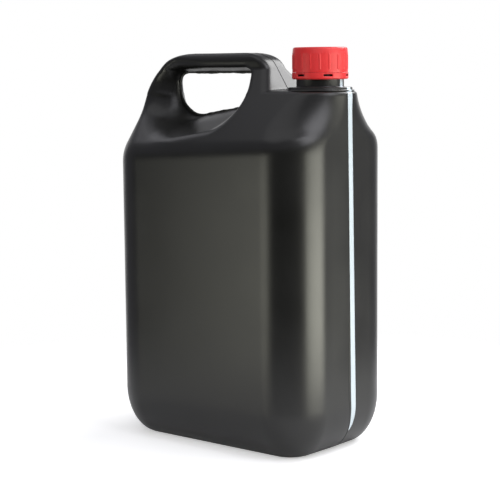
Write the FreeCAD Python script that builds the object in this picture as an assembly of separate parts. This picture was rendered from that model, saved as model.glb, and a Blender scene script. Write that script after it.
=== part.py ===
import FreeCAD, Part
import math, os
from FreeCAD import Vector

# Five-litre plastic jerrycan, millimetres.  +Z is up and the can stands on z = 0.
# X runs along the wide face with the neck at +X, Y across the can.
# The can is one blow-moulded hollow: walls, sloping shoulders, hollow grip and neck.
# A screw cap with a sealing disc closes the neck, above a tamper ring.

# ---- blown body: plan and base -------------------------------------------------
can_length = 190.0          # X
can_width = 121.0           # Y
corner_radius = 34.0        # upright edges
wall = 1.4                  # blown wall
base_wall = 2.0             # the base is blown thicker
base_round_in = 24.0        # how far the base rounding reaches in under the can
base_round_up = 37.0        # and how far up the wall
recess_margin = 6.0         # flat standing ring round the recessed base
recess_depth = 1.5
recess_draft = 1.5          # slope of the recess, measured inwards

# ---- shoulders and neck platform ------------------------------------------------
shoulder_z = 225.9          # height of the shoulder corner at the middle of the can
shoulder_rise = 0.058       # it climbs towards the neck, per mm of length
shoulder_radius = 21.0
neck_corner_radius = 38.0   # the upright corners open out over the neck-end shoulder
platform_z = 268.0
platform_edge = 3.0         # rounding round the platform
platform_half_width = 28.3  # at the foot of that rounding
platform_tuck = 0.8         # how far the rounding draws in more than the roof's slope
end_flat = 2.0              # half the flat left between two rounded end corners
nest = 0.03                 # the legs stand this much inside the roof that they rise from

# ---- grip -----------------------------------------------------------------------
grip_foot = 283.5           # where the sloping roof ends and the upright grip side starts
grip_half_width = 13.0
grip_top = 295.7
grip_edge = 6.5             # rounding along the top of the grip
grip_rear_radius = 38.0     # rear corner of the grip, seen from the side
leg_foot = 39.5             # X where the neck-side leg meets the platform
leg_lean = 0.64             # its slope, mm of X per mm of height
leg_radius = 24.0           # from the leg into the grip's top
leg_edge = 3.5              # rounding of the leg's upright edges

# ---- hand hole: a funnel from each face to a waist on the parting plane --------
# outlines (X, Z, corner radius), clockwise from the top rear corner, and their distance in Y
hole_waist = ((-69.8, 281.5, 9.0), (9.0, 281.5, 6.0), (9.5, 256.9, 18.0), (-67.5, 244.0, 24.0))
hole_throat = ((-83.0, 289.0, 13.0), (15.0, 289.0, 8.0), (17.0, 253.0, 20.0), (-77.0, 238.5, 24.0))
hole_mouth = ((-98.0, 316.0, 30.0), (36.0, 316.0, 20.0), (26.0, 235.5, 27.0), (-68.0, 226.0, 24.0))
throat_y = 14.0
mouth_y = 64.0              # the mouth is drawn this far out, clear of the walls
pinch_web = 1.6             # welded web left round the waist
pinch_thickness = 0.9

# ---- parting line ---------------------------------------------------------------
seam_width = 0.8
seam_height = 0.35

# ---- neck -----------------------------------------------------------------------
neck_x = 69.0
boss_radius = 23.5
boss_height = 2.0
boss_edge = 0.6
neck_radius = 17.4
neck_wall = 2.2
neck_top = 296.0
neck_root = 0.8             # rounding between boss and neck
lip_edge = 0.5
bead_radius = 18.6          # locking bead that holds the tamper ring down
bead_z = 281.2
bead_height = 1.8

# ---- cap, sealing disc and tamper ring -----------------------------------------
fit = 0.3                   # running clearance round the neck
thread_depth = 1.3          # room for the neck's thread inside the cap
cap_wall = 1.3
cap_top_wall = 1.6
cap_edge = 1.8              # rounding of the cap's top edge
cap_skirt_z = 280.7
rib_count = 18
rib_height = 0.6
rib_width = 1.3
rib_band = 2.0              # plain band under the ribs
rib_turn = 6.1              # angle of a rib about the neck, degrees from +X
liner_thickness = 1.2
liner_radius = 18.4
break_gap = 0.4             # broken line between the cap and its tamper ring
ring_z = 275.7
ring_radius = 20.6
ring_wall = 1.3
ring_chamfer = 0.8
slot_count = 6
slot_width = 6.8
slot_height = 1.5
slot_z = 278.6
slot_turn = -36.6           # angle of a slot about the neck, degrees from +X
catch_count = 6
catch_width = 5.0
catch_height = 1.2

half_length = can_length / 2
half_width = can_width / 2
bench_z = platform_z - platform_edge
roof_angle = math.atan2(half_width - platform_half_width, bench_z - shoulder_z)
grip_angle = math.atan2(platform_half_width - grip_half_width, grip_foot - bench_z)


def rounded_wire(corners, place):
    """Closed wire through corners (u, v, radius); place turns (u, v) into a point."""
    edges = []
    joints = []
    for i, (u, v, radius) in enumerate(corners):
        before = Vector(*corners[i - 1][:2], 0) - Vector(u, v, 0)
        after = Vector(*corners[(i + 1) % len(corners)][:2], 0) - Vector(u, v, 0)
        before.normalize()
        after.normalize()
        corner = Vector(u, v, 0)
        half = before.getAngle(after) / 2
        run = radius / math.tan(half)
        middle = before + after
        middle.normalize()
        centre = corner + middle * (radius / math.sin(half))
        joints.append((corner + before * run, centre - middle * radius, corner + after * run))
    for i, (start, middle, end) in enumerate(joints):
        previous_end = joints[i - 1][2]
        if (previous_end - start).Length > 1e-6:
            edges.append(Part.makeLine(place(previous_end.x, previous_end.y), place(start.x, start.y)))
        if (end - start).Length > 1e-6:
            arc = Part.Arc(place(start.x, start.y), place(middle.x, middle.y), place(end.x, end.y))
            edges.append(arc.toShape())
    return Part.Wire(edges)


def plan_wire(rear, front, width, rear_radius, front_radius, z, rise=0.0):
    """Rounded rectangle from rear to front, 2 * width wide, at height z + rise * X."""
    corners = [(rear, -width, rear_radius), (front, -width, front_radius),
               (front, width, front_radius), (rear, width, rear_radius)]
    return rounded_wire(corners, lambda u, v: Vector(u, v, z + rise * u))


def centred_wire(tuck, z):
    """Plan of the straight walls drawn in by tuck."""
    reach = half_length - tuck
    return plan_wire(-reach, reach, half_width - tuck, corner_radius - tuck, corner_radius - tuck, z)


def rear_x(z, inset):
    """Rear end of the can at height z: upright, then the grip's rear corner."""
    radius = grip_rear_radius - inset
    climb = max(0.0, z - (grip_top - grip_rear_radius))
    return -half_length + grip_rear_radius - math.sqrt(max(0.0, radius ** 2 - climb ** 2))


def leg_x(z, inset):
    """Neck-side face of the leg at height z: straight slope, then round into the top."""
    slope = math.sqrt(1 + leg_lean ** 2)
    lean = math.atan(leg_lean)
    line = leg_foot - inset * slope - (z - platform_z) * leg_lean
    centre_z = grip_top - leg_radius
    centre_x = leg_foot - (centre_z - platform_z) * leg_lean - leg_radius * slope
    radius = leg_radius - inset
    if z <= centre_z + radius * math.sin(lean):
        return line
    return centre_x + math.sqrt(max(0.0, radius ** 2 - (z - centre_z) ** 2))


def foot_sections(inset, floor):
    """Sections of the rounded foot, from the base up to the plain walls."""
    sections = []
    for step in range(7):
        angle = math.radians(15 * step)
        tuck = inset + (base_round_in - inset) * (1 - math.sin(angle))
        sections.append(centred_wire(tuck, floor + (base_round_up - floor) * (1 - math.cos(angle))))
    return sections


def roof_section(width, z, inset, tuck=0.0):
    """Section of the roof between the walls and the neck platform, its ends drawn in by tuck."""
    share = max(0.0, (width + inset - platform_half_width) / (half_width - platform_half_width))
    rise = shoulder_rise * share
    open_out = neck_corner_radius - corner_radius
    turn = min(1.0, (1 - share) * 6)
    rear_round = min(corner_radius, width + inset - end_flat) - inset
    front_round = min(corner_radius + open_out * turn, width + inset - end_flat) - inset
    rear = rear_x(z - rise * half_length, inset) + tuck
    front = half_length - inset - tuck
    return plan_wire(rear, front, width, rear_round, front_round, z, rise)


def shoulder_sections(inset):
    """Sections round the shoulder, from the upright walls into the sloping roof."""
    start = shoulder_z - shoulder_radius * math.tan(roof_angle / 2)
    sections = []
    for step in range(5):
        angle = roof_angle * step / 4
        radius = shoulder_radius - inset
        width = half_width - shoulder_radius + radius * math.cos(angle)
        sections.append(roof_section(width, start + radius * math.sin(angle), inset))
    return sections


def roof_sections(inset):
    """Sections up the sloping roof to the foot of the platform's rounding."""
    start = half_width - shoulder_radius * (1 - math.cos(roof_angle))
    sections = []
    for step in range(6):
        width = start + (platform_half_width - start) * step / 5
        z = bench_z - (width - platform_half_width) / math.tan(roof_angle)
        sections.append(roof_section(width - inset * math.cos(roof_angle), z - inset * math.sin(roof_angle),
                                     inset))
    return sections


def platform_sections(inset):
    """Sections round the platform's edge."""
    sections = []
    for step in range(4):
        angle = math.radians(30 * step)
        lean = roof_angle + (math.pi / 2 - roof_angle) * step / 3
        width = (platform_half_width - platform_edge * math.sin(angle) * math.tan(roof_angle)
                 - platform_tuck * (1 - math.cos(angle)) - inset * math.cos(lean))
        z = bench_z + platform_edge * math.sin(angle) - inset * math.sin(lean)
        sections.append(roof_section(width, z, inset, (platform_edge - inset) * (1 - math.cos(angle))))
    return sections


def grip_section(width, z, inset):
    """Section of the grip and its legs, from the rear corner to the neck-side leg."""
    return plan_wire(rear_x(z, inset) + nest, leg_x(z, inset), width - nest, width - end_flat,
                     leg_edge - inset, z)


def leg_sections(inset):
    """Sections of the legs, where their sides go on up the roof's slope."""
    sections = []
    for step in range(6):
        width = platform_half_width + (grip_half_width - platform_half_width) * step / 5
        z = bench_z + (platform_half_width - width) / math.tan(grip_angle)
        sections.append(grip_section(width - inset * math.cos(grip_angle), z - inset * math.sin(grip_angle),
                                     inset))
    return sections


def edge_sections(inset):
    """Sections round the grip's long top edges."""
    sections = []
    radius = grip_edge - inset
    for step in range(6):
        angle = math.radians(18 * step)
        width = grip_half_width - grip_edge + radius * math.cos(angle)
        sections.append(grip_section(width, grip_top - grip_edge + radius * math.sin(angle), inset))
    return sections


def sewn(stacks):
    """Solid skinned over stacks of sections, each stack starting where the last one ended."""
    faces = [Part.Face(stacks[0][0]), Part.Face(stacks[-1][-1])]
    for stack in stacks:
        faces.extend(Part.makeLoft(stack, False, len(stack) == 2).Faces)
    shell = Part.makeShell(faces)
    shell.sewShape(0.01)
    return Part.makeSolid(shell)


def blown_form(inset, floor):
    """The can's form without its hand hole, drawn inset from the outer skin."""
    foot = foot_sections(inset, floor)
    shoulder = shoulder_sections(inset)
    roof = roof_sections(inset)
    platform = platform_sections(inset)
    legs = leg_sections(inset)
    edge = edge_sections(inset)
    lower = sewn([foot, [foot[-1], shoulder[0]], shoulder, [shoulder[-1]] + roof[1:],
                  [roof[-1]] + platform[1:]])
    stub = grip_section(platform_half_width - inset, bench_z - 2 * platform_edge, inset)
    upper = sewn([[stub, legs[0]], legs, [legs[-1], edge[0]], edge])
    return lower.fuse(upper)


def grow_outline(corners, grow):
    """Corners of an outline (X, Z, radius) moved out from its middle by grow."""
    middle_x = sum(c[0] for c in corners) / len(corners)
    middle_z = sum(c[1] for c in corners) / len(corners)
    return [(x + math.copysign(grow, x - middle_x), z + math.copysign(grow, z - middle_z), radius + grow)
            for x, z, radius in corners]


def hole_wire(corners, grow, y):
    return rounded_wire(grow_outline(corners, grow), lambda u, v: Vector(u, y, v))


def hand_hole(grow):
    """Cutter for the hand hole: two funnels that meet at the waist."""
    halves = []
    for side in (-1, 1):
        wires = [hole_wire(hole_waist, grow, 0), hole_wire(hole_throat, grow, side * throat_y),
                 hole_wire(hole_mouth, grow, side * mouth_y)]
        halves.append(Part.makeLoft(wires, True, False))
    return halves[0].fuse(halves[1])


def recess(grow, height):
    """Cutter for the shallow recess in the base, inside its standing ring."""
    tuck = base_round_in + recess_margin - grow
    wires = [centred_wire(tuck, -1.0), centred_wire(tuck + recess_draft, height)]
    return Part.makeLoft(wires, True, True)


def slab(thickness):
    """Thin slab on the parting plane, wide enough to cross the whole can."""
    reach = 2 * can_length
    return Part.makeBox(2 * reach, thickness, 2 * reach, Vector(-reach, -thickness / 2, -reach))


def pinch():
    """Web of squeezed wall left round the waist of the hand hole."""
    outside = Part.Face(hole_wire(hole_waist, wall / 2, -pinch_thickness / 2))
    inside = Part.Face(hole_wire(hole_waist, -pinch_web, -pinch_thickness / 2))
    return outside.cut(inside).extrude(Vector(0, pinch_thickness, 0))


def turned(points):
    """Solid turned about the neck's axis from a closed profile of (radius, z) points."""
    profile = Part.makePolygon([Vector(neck_x + r, 0, z) for r, z in points + points[:1]])
    return Part.Face(profile).revolve(Vector(neck_x, 0, 0), Vector(0, 0, 1), 360)


def neck():
    bore = neck_radius - neck_wall
    boss_top = platform_z + boss_height
    root = [(neck_radius + neck_root * (1 - math.sin(a)), boss_top + neck_root * (1 - math.cos(a)))
            for a in (math.radians(22.5 * i) for i in range(5))]
    points = [(bore, platform_z - wall), (boss_radius, platform_z - wall),
              (boss_radius, boss_top - boss_edge), (boss_radius - boss_edge, boss_top)]
    points += root
    points += [(neck_radius, bead_z), (bead_radius, bead_z), (bead_radius, bead_z + bead_height / 3),
               (neck_radius, bead_z + bead_height), (neck_radius, neck_top - lip_edge),
               (neck_radius - lip_edge, neck_top), (bore + lip_edge, neck_top), (bore, neck_top - lip_edge)]
    return turned(points)


def can_body():
    skin = blown_form(0, 0).fuse(blown_form(-seam_height, 0).common(slab(seam_width)))
    skin = skin.cut([hand_hole(0), recess(0, recess_depth)])
    hollow = blown_form(wall, base_wall).cut([hand_hole(wall), recess(wall, recess_depth + base_wall)])
    bore = Part.makeCylinder(neck_radius - neck_wall, 2 * wall, Vector(neck_x, 0, platform_z - 1.5 * wall))
    return skin.cut([hollow, bore]).fuse([neck(), pinch()])


def cap():
    bore = neck_radius + thread_depth + fit
    radius = bore + cap_wall
    top = neck_top + liner_thickness + cap_top_wall
    edge = [(radius - cap_edge * (1 - math.cos(a)), top - cap_edge * (1 - math.sin(a)))
            for a in (math.radians(22.5 * i) for i in range(5))]
    shell = turned([(bore, cap_skirt_z), (radius, cap_skirt_z)] + edge
                   + [(0, top), (0, top - cap_top_wall), (bore, top - cap_top_wall)])
    ribs = []
    low = cap_skirt_z + rib_band
    rib = Part.makePolygon([Vector(radius - cap_wall / 2, 0, low), Vector(radius, 0, low),
                            Vector(radius + rib_height, 0, low + rib_height),
                            Vector(radius + rib_height, 0, top - cap_edge - rib_height),
                            Vector(radius - cap_edge / 2, 0, top - cap_edge / 4),
                            Vector(radius - cap_wall / 2, 0, top - cap_edge), Vector(radius - cap_wall / 2, 0, low)])
    rib.translate(Vector(neck_x, -rib_width / 2, 0))
    rib = Part.Face(rib).extrude(Vector(0, rib_width, 0))
    for i in range(rib_count):
        ribs.append(rib.rotated(Vector(neck_x, 0, 0), Vector(0, 0, 1), rib_turn + 360 * i / rib_count))
    return shell.fuse(ribs)


def cap_liner():
    return Part.makeCylinder(liner_radius, liner_thickness, Vector(neck_x, 0, neck_top))


def tamper_ring():
    bore = ring_radius - ring_wall
    top = cap_skirt_z - break_gap
    ring = turned([(bore, ring_z), (ring_radius - ring_chamfer, ring_z), (ring_radius, ring_z + ring_chamfer),
                   (ring_radius, top), (bore, top)])
    slot = Part.makeBox(2 * ring_wall, slot_width, slot_height,
                        Vector(neck_x + bore - ring_wall / 2, -slot_width / 2, slot_z - slot_height / 2))
    reach = bore - neck_radius - fit
    catch = Part.makeBox(reach + ring_wall / 2, catch_width, catch_height,
                         Vector(neck_x + neck_radius + fit, -catch_width / 2, top - catch_height))
    slots = []
    catches = []
    for i in range(slot_count):
        slots.append(slot.rotated(Vector(neck_x, 0, 0), Vector(0, 0, 1), slot_turn + 360 * i / slot_count))
    for i in range(catch_count):
        turn = slot_turn + 360 * (i + 0.5) / catch_count
        catches.append(catch.rotated(Vector(neck_x, 0, 0), Vector(0, 0, 1), turn))
    clear = Part.makeCylinder(neck_radius + fit, 2 * (top - ring_z), Vector(neck_x, 0, ring_z - 1))
    return ring.cut(slots).fuse(catches).cut(clear)


os.makedirs("parts", exist_ok=True)
for build in (can_body, cap, cap_liner, tamper_ring):
    shape = build().removeSplitter()
    solids = shape.Solids
    print(build.__name__, len(solids), "solid", shape.isValid(), round(shape.Volume / 1000, 1), "cm3")
    solids[0].exportStep("parts/" + build.__name__ + ".step")
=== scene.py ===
import math

import bpy
import numpy as np
from mathutils import Matrix, Vector


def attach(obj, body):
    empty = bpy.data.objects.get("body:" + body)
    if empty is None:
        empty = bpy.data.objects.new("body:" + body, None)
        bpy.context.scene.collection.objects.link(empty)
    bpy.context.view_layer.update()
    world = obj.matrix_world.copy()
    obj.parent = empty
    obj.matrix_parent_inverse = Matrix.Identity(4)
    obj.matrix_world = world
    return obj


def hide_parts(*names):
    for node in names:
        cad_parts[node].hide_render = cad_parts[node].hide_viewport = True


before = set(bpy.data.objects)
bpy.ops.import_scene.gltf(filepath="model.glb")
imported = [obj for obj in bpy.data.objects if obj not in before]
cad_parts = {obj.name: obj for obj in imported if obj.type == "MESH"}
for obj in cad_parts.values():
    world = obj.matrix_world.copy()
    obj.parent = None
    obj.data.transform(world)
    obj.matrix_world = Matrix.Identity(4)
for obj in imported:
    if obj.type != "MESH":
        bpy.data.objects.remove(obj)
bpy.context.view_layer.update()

# Everything is drawn in millimetres in the CAD's frame and written in metres.
MM = 0.001

# ---------------------------------------------------------------- the can's form
HALF_LENGTH, HALF_WIDTH = 95.0, 60.5
WALL = 1.4
BASE_IN, BASE_UP = 24.0, 37.0               # base rounding: in under the can, and up the wall
CORNER, NECK_CORNER = 34.0, 38.0            # upright corners in plan, and the neck end's on the roof
CORNER_BLEND, NECK_BLEND = 8.0, 10.0        # how softly they shrink with the width
NECK_OPENING = 3                            # the neck end's corners open in the roof's first third
END_FLAT = 2.0                              # flat that is left in the middle of a narrow end
DRAFT, DRAFT_REACH, DRAFT_BLEND, DRAFT_SOFT = 0.027, 25.0, 8.0, 3.0     # the ends draw back from Y = 0

# the standing ring round the recessed base
RECESS_TUCK, RECESS_DEPTH = BASE_IN + 6.0, 1.5
RECESS_WALL, RECESS_LEAN = 3.0, 0.7071      # its wall is at 45 degrees over this height
RECESS_INNER, RECESS_OUTER = 0.8, 0.6       # its roundings

# the shoulder climbs towards the neck; its slope sets in over RISE_RUN above the base rounding
SHOULDER_Z, SHOULDER_RISE, SHOULDER_R, RISE_RUN = 225.9, 0.058, 21.0, 120.0
PLATFORM_Z, PLATFORM_EDGE, PLATFORM_HALF, PLATFORM_TUCK = 268.0, 3.0, 28.3, 0.8
PLATFORM_FALL, PLATFORM_RIM, PLATFORM_ROUND = 1.3, 5.5, 1.5
BENCH_Z = PLATFORM_Z - PLATFORM_EDGE
ROOF_ANGLE = math.atan2(HALF_WIDTH - PLATFORM_HALF, BENCH_Z - SHOULDER_Z)

# the grip, and its leg beside the neck
GRIP_FOOT, GRIP_HALF, GRIP_TOP, GRIP_EDGE, GRIP_REAR = 283.5, 13.0, 295.7, 6.5, 38.0
GRIP_ROOT = 12                              # how far the grip's form goes down into the can's
LEG_FOOT, LEG_LEAN, LEG_R, LEG_EDGE = 39.5, 0.64, 24.0, 5.5
CREASE_LEAST, CREASE_R, CREASE_X = 0.03, 1.3, 20    # rounding where this leg meets the platform

# the rear leg: where its sides leave the roof (x), their draft below a height, and the roof under them
LEG_X, LEG_DRAFT, LEG_DRAFT_Z = (-28.0, -60.0), 0.20, 275.0
REAR_ROOF_Z, REAR_ROOF_SLOPE, REAR_ROOF_BLEND = 225.7, 1.45, 12.0
PINCH_BLEND, PINCH_TOP = 3.0, GRIP_FOOT + 3
CORNER_PINCH, CORNER_LEAST = 1.565, 3       # its corners tighten for each millimetre of pinch, to a floor

# hand hole: corners (x, z, radius) at the waist, the throat and the mouth, and their |y|
HOLE_Y = (0.0, 14.0, 64.0)
HOLE = (((-69.8, 281.5, 9.0), (9.0, 281.5, 6.0), (9.5, 256.9, 18.0), (-67.5, 244.0, 24.0)),
        ((-69.8, 286.0, 9.0), (15.0, 286.0, 8.0), (17.0, 253.0, 20.0), (-67.5, 239.5, 25.0)),
        ((-69.8, 316.0, 9.0), (36.0, 316.0, 20.0), (26.0, 235.5, 27.0), (-34.0, 226.0, 28.0)))
# its rear opens like a trumpet: corner, which of its numbers, and by how much once |y| is REAR_FLARE
REAR_FLARE = 24.0
TRUMPET = ((0, 0, -15.0), (0, 2, 14.0), (3, 0, -10.0))
HOLE_SLOPE = 0.86                           # its walls lean, so distances are shorter than in side view
RIM_R, RIM_REAR_MORE, RIM_RUN = 2.2, 6.0, 34.0

# the neck and its closure
NECK_X, NECK_R, NECK_BORE, NECK_TOP = 69.0, 17.4, 15.2, 296.0
NECK_HOLE = 19.0                            # hole in the platform under the neck's boss
BOSS_Z, BOSS_FOOT, BOSS_R = 270.0, 266.3, 23.4
BEAD_Z, BEAD_R = 281.2, 18.6
THREAD_LEAD = 4.2
CAP_R, CAP_BORE, CAP_TOP, CAP_FOOT, CAP_ROOF = 20.3, 19.0, 298.8, 280.67, 297.2
RIBS, RIB_TURN, RIB_RISE, RIB_TOP, RIB_FOOT = 18, 6.1, 0.34, 294.2, 282.6
RIB_HALF, RIB_FLANK = math.radians(2.4), math.radians(1.8)
RING_R, RING_BORE, RING_FOOT, RING_TOP = 20.6, 19.3, 275.7, 280.55
RING_MIDDLE = 20.0                          # radius between its two walls, where a slot's width is taken
SLOTS, SLOT_TURN, SLOT_WIDTH, SLOT_Z = 6, -36.6, 6.8, (277.85, 279.35)
CATCH_HALF, CATCH_R = 2.5, 18.5
DISC_R, DISC_Z = 18.3, (296.02, 297.15)

# the strip that shows the level, down the neck end: its middle and its width (Y) at each height
STRIP_Z = (270.0, 230.0, 185.0, 140.0, 97.0, 39.0, 28.0, 20.0, 15.5)
STRIP_MIDDLE = (1.8, -0.3, -0.5, 1.4, 3.4, 5.5, 6.0, 5.9, 5.3)
STRIP_WIDTH = (5.9, 5.8, 5.6, 5.7, 5.8, 6.0, 5.4, 3.6, 0.8)
STRIP_LIFT, STRIP_DEPTH = 0.055, 0.35
STRIP_COVERS = 112.0                        # above this height the strip covers the parting line
SEAM_SWING, SWING_Z, SWING_X = 4.4, (45.0, 13.0), (38.0, 68.0)    # the line swings aside over these


def ease(share, reach=1.0):
    """Smooth step from 0 to reach as the share goes from 0 to 1."""
    return reach * share ** 2 * (3 - 2 * share)


def rear_end(z):
    """Where the rear end is (x) at a height: upright, then rounded over into the grip."""
    climb = np.clip(z - (GRIP_TOP - GRIP_REAR), 0.0, GRIP_REAR - 1e-6)
    return -HALF_LENGTH + GRIP_REAR - np.sqrt(GRIP_REAR ** 2 - climb ** 2)


def leg_end(z):
    """Where the grip's leg beside the neck ends (x) at a height."""
    centre_z = GRIP_TOP - LEG_R
    centre_x = LEG_FOOT - (centre_z - PLATFORM_Z) * LEG_LEAN - LEG_R * math.hypot(1, LEG_LEAN)
    turn = centre_z + LEG_R * math.sin(math.atan(LEG_LEAN))
    line = LEG_FOOT - (z - PLATFORM_Z) * LEG_LEAN
    arc = centre_x + np.sqrt(np.maximum(LEG_R ** 2 - np.clip(z - centre_z, 0, LEG_R) ** 2, 0))
    return np.where(z <= turn, line, arc)


def soft_min(a, b, blend):
    """The smaller of two values, blended where they are close."""
    share = np.clip(0.5 + 0.5 * (b - a) / blend, 0, 1)
    return b + (a - b) * share - blend * share * (1 - share)


def rear_pinch(x, z):
    """How far the rear leg's sides stand in from the roof's slope."""
    share = np.clip((x - LEG_X[0]) / (LEG_X[1] - LEG_X[0]), 0, 1)
    slope = HALF_WIDTH - (z - SHOULDER_Z) * math.tan(ROOF_ANGLE)
    side = GRIP_HALF + LEG_DRAFT * np.maximum(LEG_DRAFT_Z - z, 0)
    roof = REAR_ROOF_SLOPE * (z - REAR_ROOF_Z) - HALF_WIDTH
    leg = -soft_min(-side, roof, REAR_ROOF_BLEND)
    depth = -soft_min(0.0, leg - slope, PINCH_BLEND)
    return ease(share, depth) * (z < PINCH_TOP)


TABLE_STEP = 0.05


def lower_tables():
    """Width, end draw-in and tilt of the can's sections against their height at mid-length."""
    z = np.linspace(0.0, PLATFORM_Z, round(PLATFORM_Z / TABLE_STEP) + 1)
    foot = np.arccos(np.clip(1 - z / BASE_UP, 0, 1))
    tuck = BASE_IN * (1 - np.sin(foot)) * (z < BASE_UP)
    start = SHOULDER_Z - SHOULDER_R * math.tan(ROOF_ANGLE / 2)
    turn_z = start + SHOULDER_R * math.sin(ROOF_ANGLE)
    width = HALF_WIDTH - tuck
    arc = np.sqrt(np.maximum(SHOULDER_R ** 2 - np.clip(z - start, 0, SHOULDER_R) ** 2, 0))
    width = np.where(z > start, HALF_WIDTH - SHOULDER_R + arc, width)
    roof = PLATFORM_HALF + (BENCH_Z - z) * math.tan(ROOF_ANGLE)
    width = np.where(z > turn_z, roof, width)
    edge = np.arcsin(np.clip((z - BENCH_Z) / PLATFORM_EDGE, 0, 1))
    inward = PLATFORM_HALF - (z - BENCH_Z) * math.tan(ROOF_ANGLE) - PLATFORM_TUCK * (1 - np.cos(edge))
    width = np.where(z > BENCH_Z, inward, width)
    tuck = np.where(z > BENCH_Z, PLATFORM_EDGE * (1 - np.cos(edge)), tuck)
    share = np.clip((width - PLATFORM_HALF) / (HALF_WIDTH - PLATFORM_HALF), 0, 1)
    rise = np.where(z > BASE_UP, SHOULDER_RISE * share * np.clip((z - BASE_UP) / RISE_RUN, 0, 1), 0)
    end_round = np.where(z < BASE_UP, CORNER - tuck, soft_min(CORNER, width - END_FLAT, CORNER_BLEND))
    opened = CORNER + ease(np.clip((1 - share) * NECK_OPENING, 0, 1), NECK_CORNER - CORNER)
    neck_round = np.where(z < BASE_UP, CORNER - tuck, soft_min(opened, width - END_FLAT, NECK_BLEND))
    rear = rear_end(z - rise * HALF_LENGTH) + tuck
    return z, width, tuck, rise, rear, end_round, neck_round, np.gradient(width, z), np.gradient(tuck, z)


TABLES = lower_tables()


def round_max(a, b, radius):
    """Distance to what two solids share, its outer edge rounded."""
    inner = np.minimum(-radius, np.maximum(a, b))
    return inner + np.hypot(np.maximum(a + radius, 0), np.maximum(b + radius, 0))


def plan_distance(x, y, rear, front, width, rear_round, front_round):
    """Distance to a rounded rectangle in plan, and how far its nearest side faces +-Y."""
    middle, half = (rear + front) / 2, (front - rear) / 2
    corner = np.where(x > middle, front_round, rear_round)
    qx = np.abs(x - middle) - (half - corner)
    qy = np.abs(y) - (width - corner)
    outside = np.hypot(np.maximum(qx, 0), np.maximum(qy, 0))
    side = np.where(outside > 1e-9, np.maximum(qy, 0) / np.maximum(outside, 1e-9), qy > qx)
    return np.minimum(np.maximum(qx, qy), 0) + outside - corner, side


STEEPEST = 4                # steepest lean of a wall that its distance allows for


def lower_form(x, y, z):
    """Distance to the can's own form, from the standing ring to the platform under the neck."""
    grid, width, tuck, rise, rear, end_round, neck_round, lean, tuck_lean = TABLES
    level = np.clip(z, 0, PLATFORM_Z)
    at = level
    for _ in range(6):
        at = np.clip(level - x * np.interp(at, grid, rise), 0, PLATFORM_Z)
    look = lambda table: np.interp(at, grid, table)
    draft = DRAFT * soft_min(np.sqrt(y * y + DRAFT_SOFT ** 2), DRAFT_REACH, DRAFT_BLEND)
    pinch = rear_pinch(x, z)
    rear_round = np.maximum(look(end_round) - CORNER_PINCH * pinch, CORNER_LEAST)
    flat, side = plan_distance(x, y, look(rear) + draft, HALF_LENGTH - look(tuck) - draft,
                               look(width) - pinch, rear_round, look(neck_round))
    slope = side ** 2 * look(lean) - (1 - side ** 2) * look(tuck_lean)
    flat = flat / np.sqrt(1 + np.clip(slope, -STEEPEST, STEEPEST) ** 2)
    crown = PLATFORM_FALL * np.clip(1 + flat / PLATFORM_RIM, 0, 1) ** 2
    form = round_max(flat, z - PLATFORM_Z + crown, PLATFORM_ROUND)
    form = np.maximum(form, -z)
    pit, _ = plan_distance(x, y, -HALF_LENGTH + RECESS_TUCK, HALF_LENGTH - RECESS_TUCK,
                           HALF_WIDTH - RECESS_TUCK, CORNER - RECESS_TUCK, CORNER - RECESS_TUCK)
    pit = (pit + np.clip(z, 0, RECESS_WALL)) * RECESS_LEAN
    pit = round_max(pit, z - RECESS_DEPTH, RECESS_INNER)
    return round_max(form, -pit, RECESS_OUTER)


def upper_form(x, y, z):
    """Distance in plan to the grip and its legs, and how far the nearest side faces +-Y."""
    width = PLATFORM_HALF + (GRIP_HALF - PLATFORM_HALF) * (z - BENCH_Z) / (GRIP_FOOT - BENCH_Z)
    width = np.minimum(np.where(z < GRIP_FOOT, width, GRIP_HALF), PLATFORM_HALF)
    lean = (PLATFORM_HALF - GRIP_HALF) / (GRIP_FOOT - BENCH_Z)
    lean = np.where((z < GRIP_FOOT) & (z > BENCH_Z), lean, 0)
    pinch = rear_pinch(x, z)
    rear_round = np.maximum(width - END_FLAT - CORNER_PINCH * pinch, CORNER_LEAST)
    flat, side = plan_distance(x, y, rear_end(z), leg_end(z), width - pinch, rear_round, LEG_EDGE)
    return flat / np.sqrt(1 + (lean * side ** 2) ** 2), side


def hand_hole(x, y, z):
    """Distance in side view to the funnelled hand hole, negative in the hole."""
    away = np.abs(y)
    a, b, c = HOLE_Y
    wa = (away - b) * (away - c) / ((a - b) * (a - c))
    wb = (away - a) * (away - c) / ((b - a) * (b - c))
    wc = (away - a) * (away - b) / ((c - a) * (c - b))
    corners = [[wa * p[k] + wb * q[k] + wc * r[k] for k in range(3)] for p, q, r in zip(*HOLE)]
    flare = np.clip(away / REAR_FLARE, 0, 1)
    for number, k, change in TRUMPET:
        corners[number][k] += ease(flare, change)
    lines = []
    for (x0, z0, _), (x1, z1, _) in zip(corners, corners[1:] + corners[:1]):
        run = np.hypot(x1 - x0, z1 - z0)
        lines.append(((z - z0) * (x1 - x0) - (x - x0) * (z1 - z0)) / run)
    found = None
    for i, corner in enumerate(corners):
        joint = round_max(lines[i - 1], lines[i], np.maximum(corner[2], 1.0))
        found = joint if found is None else np.maximum(found, joint)
    return found


def rim_radius(x):
    """The hole's rim is soft round the rear leg and crisper at the neck end."""
    return RIM_R + ease(np.clip((LEG_X[0] - x) / RIM_RUN, 0, 1), RIM_REAR_MORE)


def can_form(x, y, z):
    """Distance to the whole blown body, negative inside it."""
    upper, side = upper_form(x, y, z)
    upper = round_max(upper, z - GRIP_TOP, GRIP_EDGE)
    upper = np.maximum(upper, BENCH_Z - GRIP_ROOT - z)
    crease = CREASE_LEAST + CREASE_R * (1 - side) ** 2 * (x > CREASE_X)
    both = -round_max(-lower_form(x, y, z), -upper, crease)
    return round_max(both, -hand_hole(x, y, z) * HOLE_SLOPE, rim_radius(x))


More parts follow.
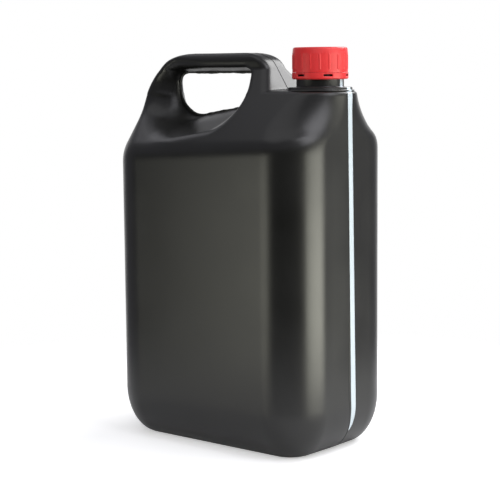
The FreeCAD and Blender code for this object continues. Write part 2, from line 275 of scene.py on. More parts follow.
def field_slope(field, p, step=0.25):
    """Gradient of a field at points."""
    x, y, z = p.T
    return np.stack([field(x + step, y, z) - field(x - step, y, z),
                     field(x, y + step, z) - field(x, y - step, z),
                     field(x, y, z + step) - field(x, y, z - step)], axis=1) / (2 * step)


def settle(field, p, level=0.0, rounds=4, limit=1.0):
    """Moves points onto the surface where the field has this level."""
    for _ in range(rounds):
        slope = field_slope(field, p)
        move = (field(*p.T) - level)[:, None] * slope / np.maximum((slope ** 2).sum(1), 0.05)[:, None]
        size = np.linalg.norm(move, axis=1, keepdims=True)
        p = p - move * np.minimum(1, limit / np.maximum(size, 1e-9))
    return p


def neighbours(axis, across=slice(None)):
    """Picks, from a grid, the two ends of each edge along an axis."""
    low, high = [across] * 3, [across] * 3
    low[axis], high[axis] = slice(0, -1), slice(1, None)
    return tuple(low), tuple(high)


def cell_points(places, value):
    """A point in each cell that the surface crosses, the mean of its edges' crossings, and its number."""
    size = tuple(n - 1 for n in value.shape)
    total = np.zeros(size + (3,))
    count = np.zeros(size)
    for axis in range(3):
        low, high = neighbours(axis)
        a, b = value[low], value[high]
        cross = (a < 0) != (b < 0)
        share = np.where(cross, a / np.where(cross, a - b, 1), 0)[..., None]
        point = places[low] * (1 - share) + places[high] * share
        u, v = [k for k in range(3) if k != axis]
        for du in (0, 1):
            for dv in (0, 1):
                pick = [slice(None)] * 3
                pick[u] = slice(du, du + size[u])
                pick[v] = slice(dv, dv + size[v])
                here = cross[tuple(pick)]
                total += np.where(here[..., None], point[tuple(pick)], 0)
                count += here
    used = count > 0
    number = np.full(size, -1)
    number[used] = np.arange(used.sum())
    return total[used] / count[used][:, None], number


def cell_quads(inside, number):
    """A quad round each edge of the grid that the surface crosses, from its four cells, facing out."""
    quads = []
    for axis in range(3):
        low, high = neighbours(axis, slice(1, -1))
        i, j, k = np.nonzero(inside[low] != inside[high])
        flip = inside[high][i, j, k]
        u, v = [(1, 2), (2, 0), (0, 1)][axis]
        base = np.stack([i, j, k], axis=1)
        base[:, [u, v]] += 1
        ring = []
        for du, dv in ((0, 0), (-1, 0), (-1, -1), (0, -1)):
            at = base.copy()
            at[:, u] += du
            at[:, v] += dv
            ring.append(number[at[:, 0], at[:, 1], at[:, 2]])
        ring = np.stack(ring, axis=1)
        ring[flip] = ring[flip][:, ::-1]
        quads.append(ring)
    return np.concatenate(quads)


def evened(field, points, quads, pull=0.5):
    """Moves each point along the surface towards the middle of its neighbours."""
    near = np.zeros_like(points)
    weight = np.zeros(len(points))
    for s in range(4):
        a, b = quads[:, s], quads[:, (s + 1) % 4]
        np.add.at(near, a, points[b])
        np.add.at(near, b, points[a])
        np.add.at(weight, a, 1)
        np.add.at(weight, b, 1)
    near = near / weight[:, None] - points
    slope = field_slope(field, points)
    slope /= np.maximum(np.linalg.norm(slope, axis=1, keepdims=True), 1e-9)
    return points + pull * (near - slope * (near * slope).sum(1)[:, None])


def skin(field, axes, level=0.0, rounds=3):
    """Quad mesh of a field's surface on a grid of uneven steps."""
    gx, gy, gz = np.meshgrid(*axes, indexing="ij")
    value = field(gx, gy, gz) - level
    points, number = cell_points(np.stack([gx, gy, gz], axis=-1), value)
    quads = cell_quads(value < 0, number)
    for _ in range(rounds):
        points = evened(field, settle(field, points, level), quads)
    return settle(field, points, level), quads


# ---------------------------------------------------------------- mesh helpers
def object_from(name, points, faces, slots):
    """Object from points in millimetres and faces; slots gives each face's material number."""
    mesh = bpy.data.meshes.new(name)
    mesh.from_pydata([tuple(p) for p in np.asarray(points) * MM], [], [tuple(f) for f in faces])
    mesh.polygons.foreach_set("material_index", np.asarray(slots, dtype=np.int32))
    mesh.polygons.foreach_set("use_smooth", np.full(len(mesh.polygons), True))
    mesh.update()
    item = bpy.data.objects.new(name, mesh)
    bpy.context.scene.collection.objects.link(item)
    return item


class Build:
    """Points and faces gathered from several closed pieces of one blown or moulded part."""

    def __init__(self):
        self.points, self.faces, self.slots = [], [], []

    def add(self, points, faces, slot=0):
        """Adds a piece; slot is its material's number, or a list of them, one for each face."""
        base = len(self.points)
        self.points.extend(map(tuple, points))
        self.faces.extend(tuple(int(i) + base for i in f) for f in faces)
        self.slots.extend(slot if isinstance(slot, list) else [slot] * len(faces))

    def finish(self, name, materials):
        item = object_from(name, self.points, self.faces, self.slots)
        for material in materials:
            item.data.materials.append(material)
        return item


def steps(*runs):
    """Coordinates from runs of (start, end, step)."""
    values = [runs[0][0]]
    for start, end, size in runs:
        count = max(1, round((end - start) / size))
        values.extend(start + (end - start) * np.arange(1, count + 1) / count)
    return np.array(values)


def tube(rings, closed=False):
    """Faces over rings of points: a list of equal loops, joined in order, its ends filled if it is open."""
    rings = [np.asarray(r) for r in rings]
    size = len(rings[0])
    points = np.concatenate(rings)
    faces = []
    count = len(rings)
    for i in range(count if closed else count - 1):
        a, b = i * size, (i + 1) % count * size
        for j in range(size):
            k = (j + 1) % size
            faces.append((a + j, a + k, b + k, b + j))
    if not closed:
        faces.append(tuple(range(size))[::-1])
        faces.append(tuple(range((count - 1) * size, count * size)))
    return points, faces


def along(path, outward, side, profile, scale):
    """Sweeps a closed profile of (side, outward) offsets along a path, scaled at each point."""
    return tube([[p + s * u * size + o * v * size for u, v in profile]
                 for p, o, s, size in zip(path, outward, side, scale)])


def turned(profile, angles, bump=lambda angle, radius, z: 0.0):
    """Closed shape turned about the neck's axis; bump(angle, radius, z) adds to the radius."""
    rings = []
    for angle in angles:
        ring = []
        for radius, z in profile:
            reach = radius + bump(angle, radius, z)
            ring.append((NECK_X + reach * math.cos(angle), reach * math.sin(angle), z))
        rings.append(ring)
    return tube(rings, closed=True)


def rounded(corners, count=5):
    """Profile with its corners (r, z, radius) rounded by short arcs."""
    out = []
    for i, (x, y, radius) in enumerate(corners):
        here = np.array((x, y))
        if radius <= 0:
            out.append((x, y))
            continue
        before = np.array(corners[i - 1][:2]) - here
        after = np.array(corners[(i + 1) % len(corners)][:2]) - here
        before /= np.linalg.norm(before)
        after /= np.linalg.norm(after)
        half = math.acos(np.clip(before @ after, -1, 1)) / 2
        run = radius / math.tan(half)
        centre = here + (before + after) / np.linalg.norm(before + after) * radius / math.sin(half)
        start, end = here + before * run - centre, here + after * run - centre
        a0 = math.atan2(start[1], start[0])
        turn = math.atan2(end[1], end[0]) - a0
        turn = (turn + math.pi) % (2 * math.pi) - math.pi
        for k in range(count + 1):
            a = a0 + turn * k / count
            out.append((centre[0] + radius * math.cos(a), centre[1] + radius * math.sin(a)))
    return out


def circle(count):
    """Angles of a full turn."""
    return [2 * math.pi * i / count for i in range(count)]


# ---------------------------------------------------------------- materials
PLASTIC_IOR = 1.54
NOISE_LOW, NOISE_HIGH = 0.3, 0.7        # the values that a noise mostly keeps between


def material(name, color, roughness):
    """New material, its node tree and its shader."""
    made = bpy.data.materials.new(name)
    made.use_nodes = True
    shader = made.node_tree.nodes["Principled BSDF"]
    shader.inputs["Base Color"].default_value = (*color, 1)
    shader.inputs["Roughness"].default_value = roughness
    shader.inputs["Specular IOR Level"].default_value = 0.5
    shader.inputs["IOR"].default_value = PLASTIC_IOR
    return made, made.node_tree, shader


def noise(tree, scale, detail=3.0, stretch=(1, 1, 1)):
    """Object-space noise, its coordinates stretched per axis."""
    nodes, links = tree.nodes, tree.links
    where = nodes.new("ShaderNodeTexCoord")
    grid = nodes.new("ShaderNodeMapping")
    grid.inputs["Scale"].default_value = stretch
    made = nodes.new("ShaderNodeTexNoise")
    made.inputs["Scale"].default_value = scale
    made.inputs["Detail"].default_value = detail
    links.new(where.outputs["Object"], grid.inputs["Vector"])
    links.new(grid.outputs["Vector"], made.inputs["Vector"])
    return made.outputs["Fac"]


def spread(tree, factor, low, high):
    """Maps a 0..1 factor to low..high."""
    made = tree.nodes.new("ShaderNodeMapRange")
    made.inputs["From Min"].default_value = NOISE_LOW
    made.inputs["From Max"].default_value = NOISE_HIGH
    made.inputs["To Min"].default_value = low
    made.inputs["To Max"].default_value = high
    tree.links.new(factor, made.inputs["Value"])
    return made.outputs["Result"]


def tint(tree, factor, low, high):
    """Colour that drifts between low and high with a factor."""
    made = tree.nodes.new("ShaderNodeValToRGB")
    made.color_ramp.elements[0].position = NOISE_LOW
    made.color_ramp.elements[1].position = NOISE_HIGH
    made.color_ramp.elements[0].color = (*low, 1)
    made.color_ramp.elements[1].color = (*high, 1)
    tree.links.new(factor, made.inputs["Fac"])
    return made.outputs["Color"]


def bumps(tree, shader, layers):
    """Chains bump nodes: (height, strength, distance in metres)."""
    last = None
    for height, strength, distance in layers:
        made = tree.nodes.new("ShaderNodeBump")
        made.inputs["Strength"].default_value = strength
        made.inputs["Distance"].default_value = distance
        tree.links.new(height, made.inputs["Height"])
        if last is not None:
            tree.links.new(last, made.inputs["Normal"])
        last = made.outputs["Normal"]
    tree.links.new(last, shader.inputs["Normal"])


def black_polyethylene():
    """The blown body: near black, faintly mottled, with fine grain and upright streaks."""
    made, tree, shader = material("black_polyethylene", (0.0075, 0.0075, 0.0070), 0.32)
    cloud = noise(tree, 22.0, 4.0)
    grain = noise(tree, 900.0, 2.0)
    streak = noise(tree, 260.0, 2.0, (1, 1, 0.02))
    mottle = tint(tree, cloud, (0.0065, 0.0065, 0.0060), (0.0085, 0.0085, 0.0080))
    tree.links.new(mottle, shader.inputs["Base Color"])
    tree.links.new(spread(tree, cloud, 0.29, 0.35), shader.inputs["Roughness"])
    bumps(tree, shader, [(grain, 0.10, 0.0002), (streak, 0.05, 0.0002)])
    return made


def natural_polyethylene():
    """The undyed strip: milky, and a little translucent."""
    made, tree, shader = material("natural_polyethylene", (0.53, 0.60, 0.66), 0.35)
    cloud = noise(tree, 30.0, 3.0, (1, 1, 0.3))
    tree.links.new(tint(tree, cloud, (0.50, 0.57, 0.63), (0.56, 0.63, 0.69)), shader.inputs["Base Color"])
    shader.inputs["Subsurface Weight"].default_value = 0.15
    shader.inputs["Subsurface Radius"].default_value = (0.004, 0.004, 0.004)
    bumps(tree, shader, [(noise(tree, 700.0), 0.08, 0.0002)])
    return made


def red_polypropylene():
    """The cap and the tamper ring."""
    made, tree, shader = material("red_polypropylene", (0.67, 0.028, 0.030), 0.38)
    cloud = noise(tree, 60.0, 3.0)
    grain = noise(tree, 1400.0, 2.0)
    tree.links.new(tint(tree, cloud, (0.64, 0.024, 0.026), (0.70, 0.032, 0.034)), shader.inputs["Base Color"])
    tree.links.new(spread(tree, cloud, 0.34, 0.42), shader.inputs["Roughness"])
    shader.inputs["Subsurface Weight"].default_value = 0.08
    shader.inputs["Subsurface Radius"].default_value = (0.003, 0.0008, 0.0008)
    bumps(tree, shader, [(grain, 0.12, 0.0001)])
    return made


def white_foam():
    """The sealing disc, with fine cells."""
    made, tree, shader = material("white_foam", (0.84, 0.84, 0.81), 0.6)
    cell = noise(tree, 1600.0, 3.0)
    tree.links.new(tint(tree, cell, (0.80, 0.80, 0.77), (0.87, 0.87, 0.85)), shader.inputs["Base Color"])
    bumps(tree, shader, [(cell, 0.3, 0.0002)])
    return made


# ---------------------------------------------------------------- the can
def ordered_loop(faces, keep):
    """Border vertices of the kept faces as one loop, in the faces' own direction."""
    edges = {}
    for f in faces[keep]:
        for a, b in zip(f, np.roll(f, -1)):
            edges[(int(a), int(b))] = True
    border = {a: b for a, b in edges if (b, a) not in edges}
    start = next(iter(border))
    loop = [start]
    while border[loop[-1]] != start:
        loop.append(border[loop[-1]])
    return loop


def open_neck(points, faces):
    """Takes the platform away under the neck and puts the edge of the hole on its circle."""
    reach = np.hypot(points[:, 0] - NECK_X, points[:, 1])
    inner = (reach < NECK_HOLE) & (points[:, 2] > BENCH_Z - 5)      # not the base under it
    keep = ~inner[faces].any(axis=1)
    loop = ordered_loop(faces, keep)
    for i in loop:
        flat = points[i, :2] - (NECK_X, 0)
        points[i, :2] = np.array((NECK_X, 0)) + flat * NECK_HOLE / np.linalg.norm(flat)
    return points, faces[keep], loop


def zip_loops(points, first, second):
    """Triangles and quads between two loops round the neck, each in rising angle."""
    def turn(i):
        return math.atan2(points[i][1], points[i][0] - NECK_X)
    loops = []
    for loop in (first, second):
        angles = np.unwrap([turn(i) for i in loop])
        loop = loop if angles[-1] > angles[0] else loop[::-1]
        start = int(np.argmin([turn(i) for i in loop]))
        loop = loop[start:] + loop[:start]
        loops.append((loop, np.unwrap([turn(i) for i in loop])))
    (a, ta), (b, tb) = loops
    faces = []
    i = j = 0
    while i < len(a) or j < len(b):
        next_a = ta[i + 1] if i + 1 < len(a) else ta[0] + 2 * math.pi
        next_b = tb[j + 1] if j + 1 < len(b) else tb[0] + 2 * math.pi
        if j >= len(b) or (i < len(a) and next_a <= next_b):
            faces.append((a[i], a[(i + 1) % len(a)], b[j % len(b)]))
            i += 1
        else:
            faces.append((a[i % len(a)], b[(j + 1) % len(b)], b[j]))
            j += 1
    return faces


def mirrored(half):
    """Y coordinates on both sides of Y = 0 from the positive ones."""
    return np.concatenate([-half[::-1], half])


OUTER_STEP, ROWS = 1.6, 39      # grid of the outer skin across the can


def can_mesh(build):
    """Outer and inner skins of the blown wall, joined round the neck's hole."""
    # the grids reach past the can, and their steps (start, end, step) are short where it curves
    half = (np.arange(ROWS) + 0.5) * OUTER_STEP
    outer = skin(can_form, (steps((-97.6, 97.6, OUTER_STEP)), mirrored(half),
                            steps((-1.8, 6, 1.3), (6, 46, 2.4), (46, 204, 6.3), (204, 226, 2.6),
                                  (226, 299.0, 1.4))))
    inner = skin(can_form, (steps((-96, 96, 3.6)), mirrored(half[::2] + OUTER_STEP / 2),
                            steps((-1, 12, 2.6), (12, 48, 4.5), (48, 204, 13.0), (204, 298.0, 3.2))),
                 level=-WALL)
    points, faces, loop = open_neck(*outer)
    lining, lining_faces, lining_loop = open_neck(*inner)
    base = len(points)
    points = np.concatenate([points, lining])
    build.add(points, [tuple(f) for f in faces] + [tuple(f[::-1]) for f in lining_faces + base]
              + zip_loops(points, loop, [i + base for i in lining_loop]))


def surface_path(points, side_y):
    """Points settled on the can, with the outward direction at each."""
    p = np.asarray(points, float)
    for _ in range(4):
        p = settle(can_form, p)
        p[:, 1] = side_y
    out = field_slope(can_form, p)
    out /= np.linalg.norm(out, axis=1, keepdims=True)
    return p, out


def seam_offset(x, z):
    """The mould's parting runs at Y = 0 and swings a little under the strip at the base."""
    low = np.clip((SWING_Z[0] - z) / (SWING_Z[0] - SWING_Z[1]), 0, 1)
    front = np.clip((x - SWING_X[0]) / (SWING_X[1] - SWING_X[0]), 0, 1)
    return ease(low * front, SEAM_SWING)


def base_rounding(angles):
    """Points (x, z) round the neck end's foot, from 0 degrees underneath to 90 up the wall."""
    return [(HALF_LENGTH - BASE_IN * (1 - math.sin(a)), BASE_UP * (1 - math.cos(a)))
            for a in np.radians(angles)]


def parting_line(build):
    """Raised line left by the mould's halves, and the pinched weld across the recessed base."""
    # one line goes up the neck end, and the other over the leg and the grip and down the rear end
    foot = base_rounding(np.arange(14, 90, 3.5))
    front = foot + [(HALF_LENGTH, z) for z in steps((BASE_UP, STRIP_COVERS, 5.0))]
    leg = [(x, PLATFORM_Z) for x in steps((46.5, 42, 1.0))]
    leg += [(float(leg_end(np.array(z))), z) for z in steps((PLATFORM_Z + 0.5, GRIP_TOP - 1.0, 1.2))]
    grip = [(x, GRIP_TOP) for x in steps((9, GRIP_REAR - HALF_LENGTH + 4, 2.5))]
    back = [(GRIP_REAR - HALF_LENGTH - GRIP_REAR * math.sin(a), GRIP_TOP - GRIP_REAR * (1 - math.cos(a)))
            for a in np.radians(np.arange(2, 90, 2.5))]
    back += [(-HALF_LENGTH, z) for z in steps((GRIP_TOP - GRIP_REAR - 1, BASE_UP, 5.0))]
    back += [(-x, z) for x, z in foot[::-1]]
    half = HALF_LENGTH - RECESS_TUCK - 4.0
    weld = [(x, RECESS_DEPTH) for x in steps((-half, half, 2.5))]
    # profiles (side, outward) of the raised line and of the weld
    rise = ((-0.62, -0.30), (-0.34, 0.06), (-0.16, 0.24), (0.16, 0.24), (0.34, 0.06), (0.62, -0.30))
    pinch = ((-1.3, -0.40), (-0.6, 0.25), (-0.35, 0.85), (0.35, 0.85), (0.6, 0.25), (1.3, -0.40))
    for line, profile in ((front, rise), (leg + grip + back, rise), (weld, pinch)):
        across = np.array([seam_offset(x, z) for x, z in line])
        path, outward = surface_path([(x, y, z) for (x, z), y in zip(line, across)], across)
        side = np.cross(np.gradient(path, axis=0), outward)
        side /= np.linalg.norm(side, axis=1, keepdims=True)
        fade = np.minimum(1, 0.05 + 0.3 * np.arange(len(line)))
        build.add(*along(path, outward, side, profile, np.minimum(fade, fade[::-1])))


def waist_web(build):
    """Thin web of squeezed wall left inside the waist, its trimmed edge a little uneven."""
    outline = np.array(rounded(HOLE[0], 14))
    dense = []
    spacing = 1.5
    for a, b in zip(outline, np.roll(outline, -1, axis=0)):
        count = max(1, int(np.linalg.norm(b - a) / spacing))
        dense.extend(a + (b - a) * k / count for k in range(count))
    dense = np.array(dense)
    run = np.roll(dense, -1, axis=0) - np.roll(dense, 1, axis=0)
    run /= np.linalg.norm(run, axis=1, keepdims=True)
    inward = np.stack([run[:, 1], -run[:, 0]], axis=1)
    middle = dense.mean(axis=0)
    inward *= np.sign(((middle - dense) * inward).sum(axis=1))[:, None]
    turn = np.linspace(0, 2 * math.pi, len(dense), endpoint=False)
    depth = 1.15 + 0.20 * np.sin(5 * turn + 0.6) + 0.12 * np.sin(13 * turn) + 0.08 * np.sin(29 * turn + 2)
    root, edge = -1.2, 0.12         # the web starts inside the wall, and its edge is rounded
    rings = []
    for p, n, reach in zip(dense, inward, depth):
        ring = []
        for out, y in ((root, -0.55), (reach - edge, -0.36), (reach, -0.18), (reach, 0.18),
                       (reach - edge, 0.36), (root, 0.55)):
            q = p + n * out
            ring.append((q[0], y, q[1]))
        rings.append(ring)
    build.add(*tube(rings, closed=True))


def strip_edges(z):
    """The strip's two edges (Y) at a height: it wanders a little, and closes on the base rounding."""
    # each is a mean over heights nearby, over a shorter stretch towards the foot
    keys = [-k for k in STRIP_Z]
    near = np.arange(-8, 9) * np.clip((z - 15.0) / 25.0, 0.12, 1.6)
    middle = np.mean([np.interp(-z + s, keys, STRIP_MIDDLE) for s in near], axis=0)
    width = np.mean([np.interp(-z + s * 0.3, keys, STRIP_WIDTH) for s in near], axis=0)
    return middle - width / 2, middle + width / 2


def level_strip(build, slot, columns=9):
    """Strip of undyed plastic in the neck-end face, where the level shows."""
    line = [(HALF_LENGTH - back, PLATFORM_Z) for back in (7.0, 5.0, 3.5)]
    line += [(HALF_LENGTH - PLATFORM_EDGE * (1 - math.cos(a)), BENCH_Z + PLATFORM_EDGE * math.sin(a))
             for a in np.radians(np.arange(84, 0, -12))]
    line += [(HALF_LENGTH, z) for z in steps((BENCH_Z - 0.4, 40, 2.5))]
    line += base_rounding(np.arange(88, 54.6, -1.5))
    grid = []
    for x, z in line:
        low, high = strip_edges(z)
        grid += [(x, low + (high - low) * c, z) for c in np.linspace(0, 1, columns)]
    points, outward = surface_path(grid, [y for _, y, _ in grid])
    lift = np.full((columns, 1), STRIP_LIFT)
    lift[[0, -1]] = 0.0
    rings = []
    for start in range(0, len(grid), columns):
        p, n = points[start:start + columns], outward[start:start + columns]
        rings.append(np.concatenate([p + n * lift, (p - n * STRIP_DEPTH)[::-1]]))
    build.add(*tube(rings), slot=slot)


def neck(build, black, white):
    """Boss, neck and locking bead; the undyed strip runs up through them."""
    profile = rounded([(NECK_BORE, BOSS_FOOT, 0.0), (NECK_BORE, NECK_TOP, 0.7), (NECK_R, NECK_TOP, 0.5),
                       (NECK_R, 283.0, 0.4), (BEAD_R, 281.9, 0.3), (BEAD_R, BEAD_Z, 0.2),
                       (NECK_R, BEAD_Z, 0.3), (NECK_R, BOSS_Z, 0.9), (BOSS_R, BOSS_Z, 0.7),
                       (23.6, 268.0, 0.7), (25.0, 267.9, 0.0), (25.0, 267.3, 0.0), (19.6, BOSS_FOOT, 0.0)])
    low, high = math.radians(2.0), math.radians(15.2)       # the strip's share of the turn
    across = 8
    angles = list(np.linspace(low, high, across + 1))
    angles += list(np.linspace(high, low + 2 * math.pi, 152)[1:-1])
    points, faces = turned(profile, angles)
    slots = [white if f[0] // len(profile) < across else black for f in faces]
    build.add(points, faces, slots)


def helix(radius, root, start_z, turns, width_root, width_top, taper=0.14, count=72):
    """Ridge of a thread from its root to a radius, which fades in and out at its ends."""
    rings = []
    total = int(turns * count)
    sunk = root - math.copysign(0.4, radius - root)     # its foot is sunk into the wall
    for i in range(total + 1):
        share = i / total * turns
        fade = max(min(1.0, share / taper, (turns - share) / taper), 0.02) ** 0.5
        angle = 2 * math.pi * share
        z = start_z + THREAD_LEAD * share
        top = root + (radius - root) * fade
        rings.append([(NECK_X + r * math.cos(angle), r * math.sin(angle), z + dz)
                      for r, dz in ((sunk, -width_root / 2), (root, -width_root / 2), (top, -width_top / 2),
                                    (top, width_top / 2), (root, width_root / 2), (sunk, width_root / 2))])
    return tube(rings)


def upright(a, b, least):
    """Whether two points (r, z) of a profile are the ends of an upright line longer than least."""
    return abs(a[0] - b[0]) < 0.01 and abs(b[1] - a[1]) > least


def cap_mesh():
    """Screw cap: a skirt with raised ribs, a soft top edge and a thread inside."""
    build = Build()
    outer = [(19.8, CAP_TOP, 1.5), (CAP_R, 294.4, 2.0), (CAP_R, CAP_FOOT, 0.12)]
    crown = rounded([(0.02, 298.5, 0.0), (17.4, 298.5, 0.25), (17.9, CAP_TOP, 0.25)] + outer
                    + [(CAP_BORE, CAP_FOOT, 0.3), (CAP_BORE, CAP_ROOF, 0.4), (0.02, CAP_ROOF, 0.0)], 6)
    # rows and columns are close where the ribs rise and end
    rows = (294.0, 293.6, 293.2, 292.8, 290.0, 286.0, 284.6, 283.8, 283.4, 283.0, 282.7, 282.3)
    columns = (-2.6, -2.1, -1.7, -1.3, -0.9, -0.4, 0.4, 0.9, 1.3, 1.7, 2.1, 2.6, 4.5, 7, 10, 13, 15.5)
    dense = []
    for a, b in zip(crown, crown[1:] + crown[:1]):
        dense.append(a)
        if upright(a, b, 5) and a[0] > CAP_R - 0.1:
            dense.extend((a[0], z) for z in rows)
    first = math.radians(RIB_TURN)
    pitch = 2 * math.pi / RIBS

    def rib(angle, radius, z):
        if radius < CAP_R - 0.05:
            return 0.0
        away = abs((angle - first + pitch / 2) % pitch - pitch / 2)
        side = np.clip((RIB_HALF - away) / RIB_FLANK, 0, 1)
        top = np.clip((RIB_TOP - z) / 1.2, 0, 1)
        foot = np.clip((z - RIB_FOOT) / 0.8, 0, 1)
        return RIB_RISE * (ease(side) * min(top, foot))

    angles = sorted((first + pitch * i + away) % (2 * math.pi)
                    for i in range(RIBS) for away in np.radians(columns))
    build.add(*turned(dense, angles, rib))
    build.add(*helix(17.95, CAP_BORE, 284.3, 2.0, 1.9, 0.8))
    return build


def slotted(profile, angles, is_open, outer, inner):
    """Turned ring with slots through it: the steps that are open lack the faces from outer and inner."""
    points, faces = turned(profile, angles)
    size, count = len(profile), len(angles)
    kept = [f for k, f in enumerate(faces) if not (is_open[k // size] and k % size in (outer, inner))]
    for i in range(count):
        if not is_open[i]:
            continue
        a, b = i * size, (i + 1) % count * size
        kept.append((a + outer + 1, b + outer + 1, b + inner, a + inner))
        kept.append((b + outer, a + outer, a + inner + 1, b + inner + 1))
        if not is_open[i - 1]:
            kept.append((a + outer, a + outer + 1, a + inner, a + inner + 1))
        if not is_open[(i + 1) % count]:
            kept.append((b + outer + 1, b + outer, b + inner + 1, b + inner))
    return points, kept


def ring_mesh():
    """Tamper ring: a chamfered band with slots through it and catches inside."""
    build = Build()
    smooth = rounded([(RING_BORE, RING_TOP, 0.15), (RING_BORE, RING_FOOT, 0.2), (19.9, RING_FOOT, 0.15),
                      (RING_R, 276.5, 0.4), (RING_R, RING_TOP, 0.14)])
    profile, rows = [], {}
    for a, b in zip(smooth, smooth[1:] + smooth[:1]):
        profile.append(a)
        if upright(a, b, 2):
            rows["outer" if a[0] > RING_MIDDLE else "inner"] = len(profile)
            profile.extend((a[0], z) for z in sorted(SLOT_Z, reverse=bool(b[1] < a[1])))
    half = SLOT_WIDTH / 2 / RING_MIDDLE
    pitch = 2 * math.pi / SLOTS
    first = math.radians(SLOT_TURN)
    angles, is_open = [], []
    for i in range(SLOTS):
        middle = first + pitch * i
        for low, high, count, slot in ((middle - half, middle + half, 6, True),
                                       (middle + half, middle + pitch - half, 18, False)):
            angles.extend(np.linspace(low, high, count + 1)[:-1])
            is_open.extend([slot] * count)
    build.add(*slotted(profile, angles, is_open, rows["outer"], rows["inner"]))
    catch = ((19.5, 279.0), (17.9, 279.7), (17.8, 280.0), (17.9, 280.2), (19.5, 280.2))
    for i in range(SLOTS):
        middle = first + pitch * (i + 0.5)
        rings = []
        for k in np.linspace(-1, 1, 7):
            a = middle + k * CATCH_HALF / CATCH_R
            rings.append([(NECK_X + r * math.cos(a), r * math.sin(a), z) for r, z in catch])
        build.add(*tube(rings))
    return build


def liner_mesh():
    """Sealing disc of foam inside the cap."""
    build = Build()
    low, high = DISC_Z
    profile = rounded([(0.02, low, 0.0), (DISC_R, low, 0.2), (DISC_R, high, 0.2), (0.02, high, 0.0)], 3)
    build.add(*turned(profile, circle(96)))
    return build


# ---------------------------------------------------------------- pieces
black, white, red, foam = black_polyethylene(), natural_polyethylene(), red_polypropylene(), white_foam()

can = Build()
can_mesh(can)
parting_line(can)
waist_web(can)
level_strip(can, 1)
neck(can, 0, 1)
can.add(*helix(NECK_R + 1.3, NECK_R, 286.4, 1.9, 2.0, 0.9))
can_piece = can.finish("can", [black, white])
cap_piece = cap_mesh().finish("screw_cap", [red])
ring_piece = ring_mesh().finish("lock_ring", [red])
liner_piece = liner_mesh().finish("sealing_disc", [foam])

for piece, body, node, slot in ((can_piece, "can", "can_body", "black_polyethylene"),
                                (cap_piece, "closure", "cap", "red_polypropylene"),
                                (ring_piece, "can", "tamper_ring", "red_polypropylene"),
                                (liner_piece, "disc", "cap_liner", "white_foam")):
    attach(piece, body)
    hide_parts(node)

# ---------------------------------------------------------------- floor, light and camera
scene = bpy.context.scene
scene.view_settings.view_transform = "Standard"


def node(tree, kind, values=None, **fields):
    """Node with its fields set and its inputs given as numbers, colours or sockets."""
    made = tree.nodes.new(kind)
    for name, value in fields.items():
        setattr(made, name, value)
    for name, value in (values or {}).items():
        if isinstance(value, bpy.types.NodeSocket):
            tree.links.new(value, made.inputs[name])
        else:
            made.inputs[name].default_value = value
    return made


def eased(tree, value, low, high):
    """0..1 as a value goes from low to high, smoothly."""
    share = node(tree, "ShaderNodeMapRange", {"Value": value, "From Min": low, "From Max": high},
                 interpolation_type="SMOOTHSTEP")
    return share.outputs["Result"]


def mixed(tree, share, first, second):
    """Colour between two."""
    return node(tree, "ShaderNodeMixRGB", {"Fac": share, 1: first, 2: second}).outputs[0]


def math_node(tree, operation, first, second):
    """Result of an operation on two numbers or sockets."""
    return node(tree, "ShaderNodeMath", {0: first, 1: second}, operation=operation).outputs[0]


def facing(tree, where, azimuth, low, high):
    """0..1 as a direction turns from the cosine low to high towards an azimuth."""
    a = math.radians(azimuth)
    aim = (math.sin(a), -math.cos(a), 0)
    dot = node(tree, "ShaderNodeVectorMath", {0: where, 1: aim}, operation="DOT_PRODUCT")
    return eased(tree, dot.outputs["Value"], low, high)


# the floor's glow to the camera, and the distances between which it fades out
FLOOR_SIZE, FLOOR_GLOW, FLOOR_FADE = 0.6, 0.45, (0.24, 0.46)


def floor_paper():
    """White paper that fades into the white background."""
    made = bpy.data.materials.new("floor_paper")
    made.use_nodes = True
    tree = made.node_tree
    paper = tree.nodes["Principled BSDF"]
    paper.inputs["Base Color"].default_value = (0.90, 0.90, 0.90, 1)
    paper.inputs["Roughness"].default_value = 0.9
    paper.inputs["Specular IOR Level"].default_value = 0.1
    paper.inputs["Emission Color"].default_value = (1, 1, 1, 1)
    camera_ray = node(tree, "ShaderNodeLightPath").outputs["Is Camera Ray"]
    glow = math_node(tree, "MULTIPLY", camera_ray, FLOOR_GLOW)
    tree.links.new(glow, paper.inputs["Emission Strength"])
    place = node(tree, "ShaderNodeTexCoord").outputs["Object"]
    radius = node(tree, "ShaderNodeVectorMath", {0: place}, operation="LENGTH").outputs["Value"]
    fade = eased(tree, radius, *FLOOR_FADE)
    clear = node(tree, "ShaderNodeBsdfTransparent").outputs[0]
    sheet = node(tree, "ShaderNodeMixShader", {"Fac": fade, 1: paper.outputs[0], 2: clear})
    tree.links.new(sheet.outputs[0], tree.nodes["Material Output"].inputs["Surface"])
    return made


floor_mesh = bpy.data.meshes.new("floor")
floor_mesh.from_pydata([(x * FLOOR_SIZE, y * FLOOR_SIZE, 0) for x, y in ((-1, -1), (1, -1), (1, 1), (-1, 1))],
                       [], [(0, 1, 2, 3)])
floor = bpy.data.objects.new("floor", floor_mesh)
scene.collection.objects.link(floor)
floor_mesh.materials.append(floor_paper())

# azimuths of the studio's dark side, its dim left, a bright lobe and the backdrop
DARK_SIDE, LEFT_SIDE, LOBE, BACKDROP = 22.0, -125.0, 108.0, 219.7


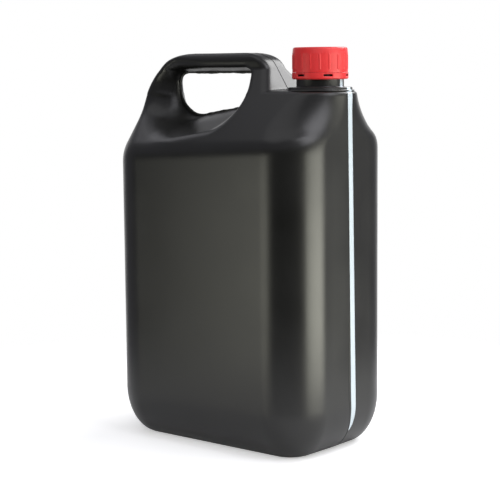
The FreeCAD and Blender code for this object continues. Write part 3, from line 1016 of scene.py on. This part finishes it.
def studio_world():
    """Grey all round, dark low on the camera's side, and a white backdrop low behind the object."""
    world = bpy.data.worlds.new("studio")
    world.use_nodes = True
    tree = world.node_tree
    where = node(tree, "ShaderNodeTexCoord").outputs["Generated"]
    height = node(tree, "ShaderNodeSeparateXYZ", {0: where}).outputs["Z"]
    left = facing(tree, where, LEFT_SIDE, 0.2, 0.8)
    walls = mixed(tree, left, (0.24, 0.24, 0.27, 1), (0.18, 0.18, 0.20, 1))
    lit = mixed(tree, facing(tree, where, LOBE, 0.86, 0.99), walls, (1.2, 1.2, 1.1, 1))
    dark = facing(tree, where, DARK_SIDE, 0.0, 0.62)
    low_dark = math_node(tree, "MULTIPLY", dark, eased(tree, height, 0.45, 0.15))
    room = mixed(tree, low_dark, lit, (0.04, 0.04, 0.04, 1))
    behind = facing(tree, where, BACKDROP, 0.75, 0.88)
    low_behind = math_node(tree, "MULTIPLY", behind, eased(tree, height, 0.42, 0.12))
    # the camera sees only white; reflections and what shines through see the backdrop
    rays = node(tree, "ShaderNodeLightPath").outputs
    bounced = math_node(tree, "MAXIMUM", rays["Is Glossy Ray"], rays["Is Transmission Ray"])
    seen = math_node(tree, "MULTIPLY", low_behind, bounced)
    white_share = math_node(tree, "MAXIMUM", seen, rays["Is Camera Ray"])
    sky = mixed(tree, white_share, room, (1, 1, 1, 1))
    tree.links.new(sky, tree.nodes["Background"].inputs["Color"])
    tree.nodes["Background"].inputs["Strength"].default_value = 1.0
    return world


scene.world = studio_world()


AIM = Vector((0, 0, 0.15))      # the can's middle, which every light looks at


def panel(name, azimuth, elevation, distance, width, height, power, color=(1, 1, 1)):
    """Soft box at an azimuth from -Y towards +X, aimed at the can."""
    light = bpy.data.lights.new(name, "AREA")
    light.shape = "RECTANGLE"
    light.size, light.size_y = width, height
    light.energy = power
    light.color = color
    a, e = math.radians(azimuth), math.radians(elevation)
    away = Vector((math.sin(a) * math.cos(e), -math.cos(a) * math.cos(e), math.sin(e)))
    place = away * distance + AIM
    item = bpy.data.objects.new(name, light)
    item.location = place
    item.rotation_euler = (AIM - place).to_track_quat("-Z", "Y").to_euler()
    scene.collection.objects.link(item)
    return item


# azimuth, elevation (degrees), distance, width, height (metres), power (watts) and colour
WARM, COOL = (1.0, 1.0, 0.86), (0.95, 0.95, 1.0)
panel("box_right", 102, -9, 1.0, 0.84, 0.40, 6.6, WARM)
panel("box_left", -23, -6, 0.85, 0.42, 0.36, 1.20, WARM)
panel("box_high", 87, 46, 1.2, 0.60, 0.95, 5.6, COOL)
panel("box_rear", -112, 42, 1.2, 0.4, 0.4, 0.33, COOL)
panel("box_back", 160, 40, 1.2, 0.9, 0.6, 10.5)
panel("box_over", -40, 74, 1.3, 1.0, 1.0, 1.6)
fill = panel("fill", 30, 30, 1.5, 1.2, 1.2, 8.5)
fill.visible_glossy = False

# the camera that was fitted to the photograph's outline, in degrees, metres and millimetres
AZIMUTH, TILT, ROLL = 39.714, 7.09, 0.507
DISTANCE, HEIGHT, SIDEWAYS = 1.1073, 0.2828, 0.00077
LENS, SENSOR = 104.2, 36


def place_camera():
    """Camera at a distance from the can's middle, turned by its azimuth, tilt and roll."""
    a, t, r = (math.radians(v) for v in (AZIMUTH, TILT, ROLL))
    forward = Vector((-math.sin(a), math.cos(a), 0))
    right = Vector((math.cos(a), math.sin(a), 0))
    look = (forward * math.cos(t) - Vector((0, 0, 1)) * math.sin(t)).normalized()
    up = right.cross(look).normalized()
    side = right * math.cos(r) - up * math.sin(r)
    top = up * math.cos(r) + right * math.sin(r)
    turn = Matrix((side, top, -look)).transposed().to_4x4()
    place = -forward * DISTANCE + right * SIDEWAYS + Vector((0, 0, HEIGHT))
    data = bpy.data.cameras.new("camera")
    data.sensor_width = SENSOR
    data.lens = LENS
    camera = bpy.data.objects.new("camera", data)
    camera.matrix_world = Matrix.Translation(place) @ turn
    scene.collection.objects.link(camera)
    scene.camera = camera


place_camera()
